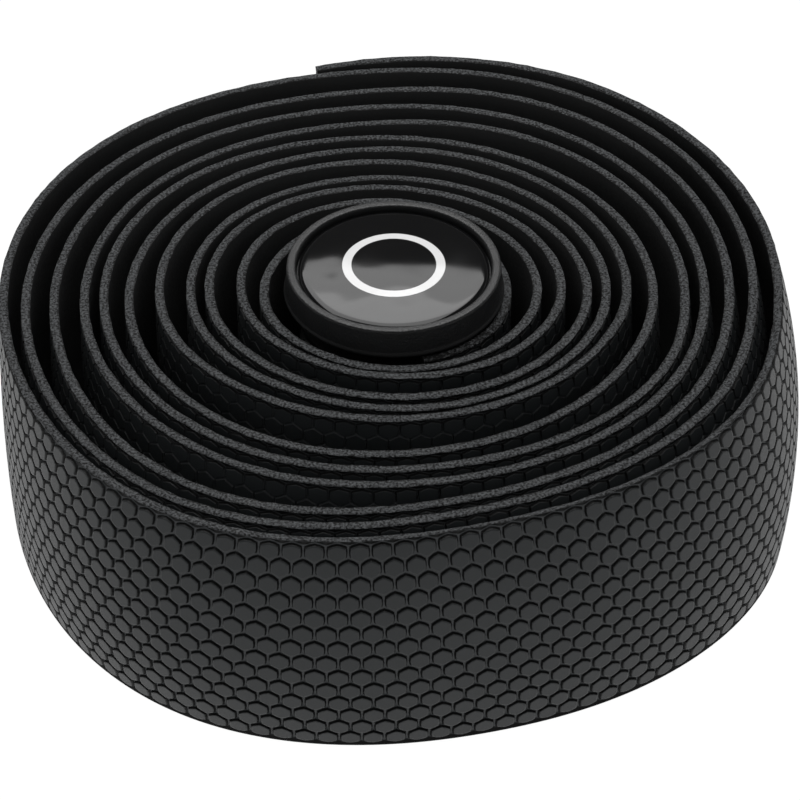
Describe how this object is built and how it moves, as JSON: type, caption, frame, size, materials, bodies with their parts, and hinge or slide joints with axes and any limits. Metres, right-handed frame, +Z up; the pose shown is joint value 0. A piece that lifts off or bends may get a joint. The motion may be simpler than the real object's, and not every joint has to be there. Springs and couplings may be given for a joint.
{
  "type": "handlebar tape roll",
  "caption": "Roll of foam handlebar tape with a raised hexagon grip pattern, wound round a push-in bar end plug with a domed badge.",
  "frame": {"origin": "centre of the roll's box on the surface that it stands on", "axes": "+Z up along the roll's axis, out of the plug's cap; -Y is the side seen in the picture; the tape's outer end is at the back, just left of +Y"},
  "size_m": [0.0972, 0.0986, 0.0331],
  "materials": {
    "tape": "semi-matt embossed black foam tape with a grey cut edge",
    "plug": "satin black moulded plastic",
    "badge": "glossy black domed resin"
  },
  "bodies": {
    "root": {"handlebar_tape": "tape", "bar_end_plug": "plug", "domed_badge": "badge"}
  },
  "joints": []
}
